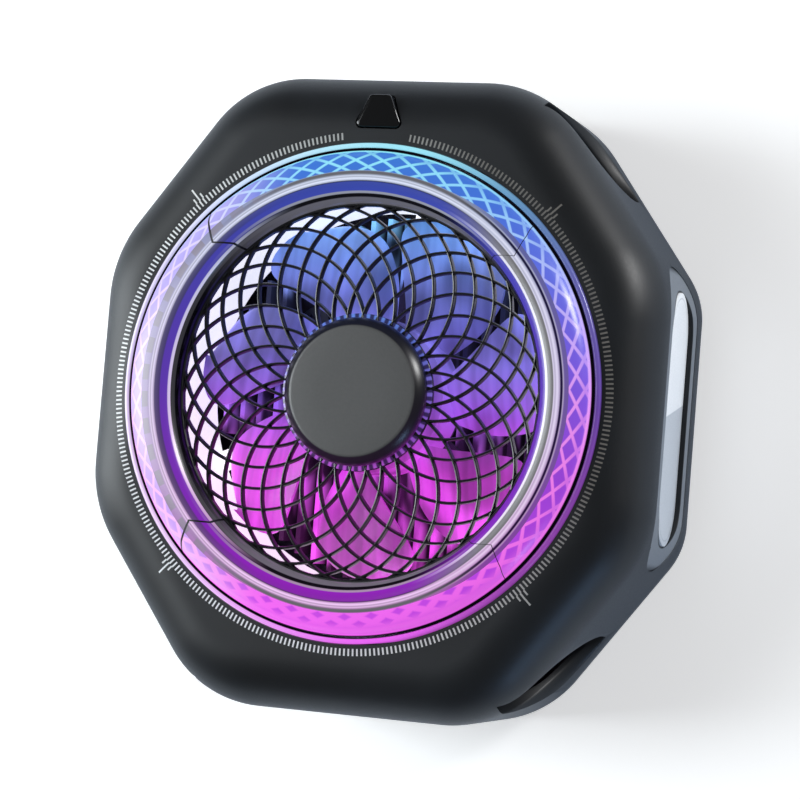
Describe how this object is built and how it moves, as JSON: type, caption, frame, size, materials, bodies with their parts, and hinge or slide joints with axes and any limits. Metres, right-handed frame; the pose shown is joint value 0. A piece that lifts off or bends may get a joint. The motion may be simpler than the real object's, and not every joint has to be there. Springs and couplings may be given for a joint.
{
  "type": "phone_cooling_fan",
  "caption": "Magnetic phone cooler: black rounded octagonal case, lit clear ring, woven black fan grille, hub cap, side plates and four eye-shaped vents",
  "frame": {"origin": "middle of the rear contact face, on the fan axis", "axes": "+Z along the fan axis out of the fan face, +Y towards the button, +X towards the right side plate"},
  "size_m": [0.071, 0.0772, 0.0326],
  "materials": {
    "shell_black": "fine satin texture, soft to the touch",
    "shell_back": "fine satin texture",
    "rim_light": "milky clear, lit from below",
    "lens_clear": "polished clear",
    "pattern_film": "lit diamond pattern",
    "guide_milky": "milky light guide",
    "board_white": "white solder mask",
    "lamp": "small surface-mount lamp",
    "grille_black": "thin moulded strands, satin",
    "cap_grey": "polished bevel and flat top",
    "fan_white": "smooth moulded",
    "blade_pale": "pale translucent",
    "yoke_steel": "drawn cup",
    "magnet_dark": "bonded magnet, matt",
    "shaft_steel": "ground",
    "sleeve_bronze": "sintered bronze",
    "core_steel": "stacked steel sheets",
    "coil_copper": "enamelled copper wire",
    "board_green": "green solder mask",
    "sink_aluminium": "skived fins, bright",
    "ceramic_white": "unglazed alumina",
    "pellet_grey": "metallic pellets",
    "foam_dark": "closed-cell foam",
    "plate_aluminium": "fine brushed, anodised",
    "ring_steel": "flat pressed ring",
    "magnet_nickel": "nickel plated",
    "pad_silicone": "matt silicone",
    "bay_dark": "matt",
    "plate_silver": "satin, pale silver",
    "button_black": "polished",
    "plunger_pale": "smooth",
    "switch_dark": "moulded",
    "chip_dark": "moulded",
    "inlet_steel": "drawn sleeve",
    "tongue_dark": "moulded",
    "screw_dark": "black zinc",
    "screw_plain": "plain"
  },
  "bodies": {
    "housing": {"front_shell": "shell_black", "rear_shell": "shell_back", "outer_light_ring": "rim_light", "lens_ring": "lens_clear", "pattern_ring": "pattern_film", "light_guide": "guide_milky", "led_board": "board_white", "leds": "lamp", "front_grille": "grille_black", "hub_cap": "cap_grey", "fan_frame": "fan_white", "bearing_sleeve": "sleeve_bronze", "stator_core": "core_steel", "stator_coils": "coil_copper", "motor_board": "board_green", "heat_sink": "sink_aluminium", "element_hot_plate": "ceramic_white", "element_pellets": "pellet_grey", "element_cold_plate": "ceramic_white", "foam_frame": "foam_dark", "contact_plate": "plate_aluminium", "steel_ring": "ring_steel", "magnets": "magnet_nickel", "contact_pad": "pad_silicone", "bay_floor_right": "bay_dark", "bay_floor_left": "bay_dark", "side_plate_right": "plate_silver", "side_plate_left": "plate_silver", "button_switch": "switch_dark", "control_board": "board_green", "control_parts": "chip_dark", "inlet_board": "board_green", "inlet_sleeve": "inlet_steel", "inlet_tongue": "tongue_dark", "case_screws": "screw_dark", "fan_screws": "screw_plain", "sink_screws": "screw_dark", "board_screws": "screw_plain"},
    "rotor": {"fan_rotor": "blade_pale", "rotor_yoke": "yoke_steel", "rotor_magnet": "magnet_dark", "motor_shaft": "shaft_steel"},
    "button": {"mode_button": "button_black", "switch_plunger": "plunger_pale"}
  },
  "joints": [
    {"name": "fan_spin", "type": "hinge", "parent": "housing", "child": "rotor", "pos_m": [0, 0, 0.02], "axis": [0, 0, 1], "continuous": true},
    {"name": "button_press", "type": "slide", "parent": "housing", "child": "button", "axis": [0, 0, -1], "range_m": [0, 0.00035], "stiffness_N_per_m": 2500, "springref_m": -0.0001}
  ]
}
